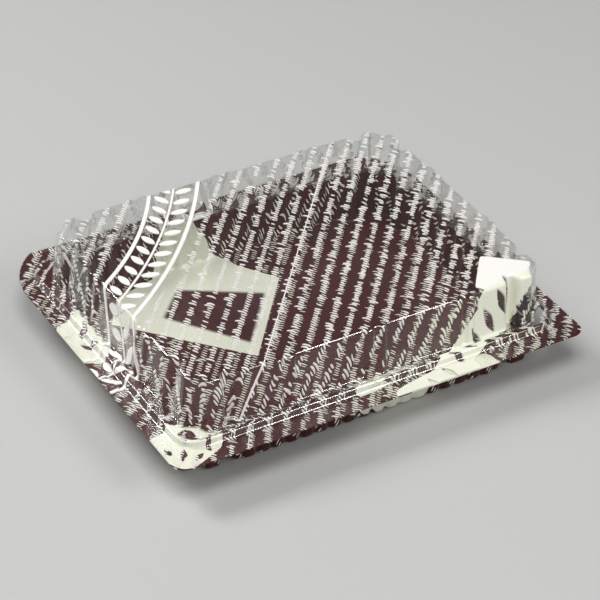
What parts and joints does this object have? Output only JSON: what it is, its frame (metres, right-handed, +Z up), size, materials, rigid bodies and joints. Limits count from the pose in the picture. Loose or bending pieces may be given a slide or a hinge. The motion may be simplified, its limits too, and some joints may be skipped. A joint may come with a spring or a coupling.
{
  "type": "hinged sandwich pack",
  "caption": "Shallow rectangular food pack of thin formed sheet: a fluted tray and a clear domed lid with lobed corners, hinged along one long edge.",
  "frame": {"origin": "under the middle of the closed pack, on the underside of the tray's floor", "axes": "+X along the crease, +Y to the rear edge with the crease, -Y to the front edge where the pack opens, +Z up"},
  "size_m": [0.19, 0.1554, 0.0436],
  "materials": {
    "tray_sheet": "gloss",
    "lid_sheet": "clear gloss"
  },
  "bodies": {
    "base": {"tray": "tray_sheet"},
    "cover": {"lid": "lid_sheet"}
  },
  "joints": [
    {"name": "lid_hinge", "type": "hinge", "parent": "base", "child": "cover", "pos_m": [0, 0.07785, 0.01815], "axis": [-1, 0, 0], "range_deg": [0, 160]}
  ]
}
